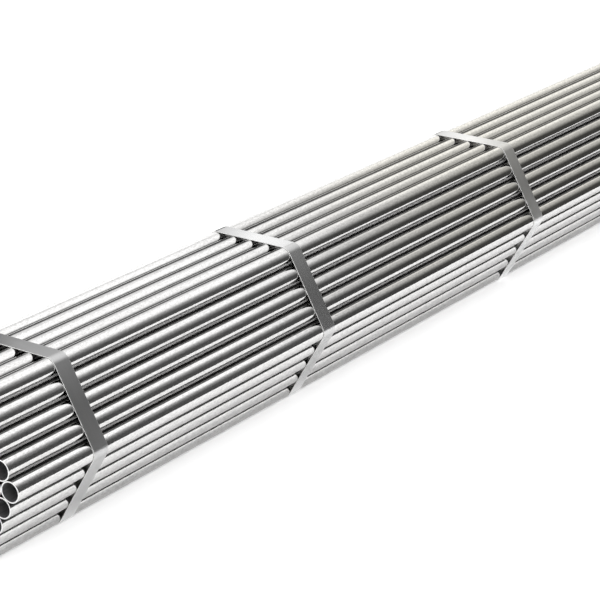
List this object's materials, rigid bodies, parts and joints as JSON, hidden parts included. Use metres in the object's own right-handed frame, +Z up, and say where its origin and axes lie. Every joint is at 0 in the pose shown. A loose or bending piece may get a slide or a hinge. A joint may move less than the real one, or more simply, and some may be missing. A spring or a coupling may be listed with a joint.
{
  "type": "bundle of steel tubes",
  "caption": "Hexagonal bundle of bright round steel tubes, stacked close and bound with flat steel straps around its six sides.",
  "frame": {"origin": "on the floor, under the middle of the bundle's length and width", "axes": "+Y along the tubes, away from the end that is seen; +X across the bundle; +Z up"},
  "size_m": [0.3072, 6, 0.2709],
  "materials": {
    "tube_steel": "bright polished",
    "strap_steel": "satin rolled"
  },
  "bodies": {
    "root": {"tube_row_1": "tube_steel", "tube_row_2": "tube_steel", "tube_row_3": "tube_steel", "tube_row_4": "tube_steel", "tube_row_5": "tube_steel", "tube_row_6": "tube_steel", "tube_row_7": "tube_steel", "tube_row_8": "tube_steel", "tube_row_9": "tube_steel", "strap_1": "strap_steel", "strap_2": "strap_steel", "strap_3": "strap_steel", "strap_4": "strap_steel", "strap_5": "strap_steel", "strap_6": "strap_steel", "strap_7": "strap_steel", "strap_8": "strap_steel", "strap_9": "strap_steel"}
  },
  "joints": []
}
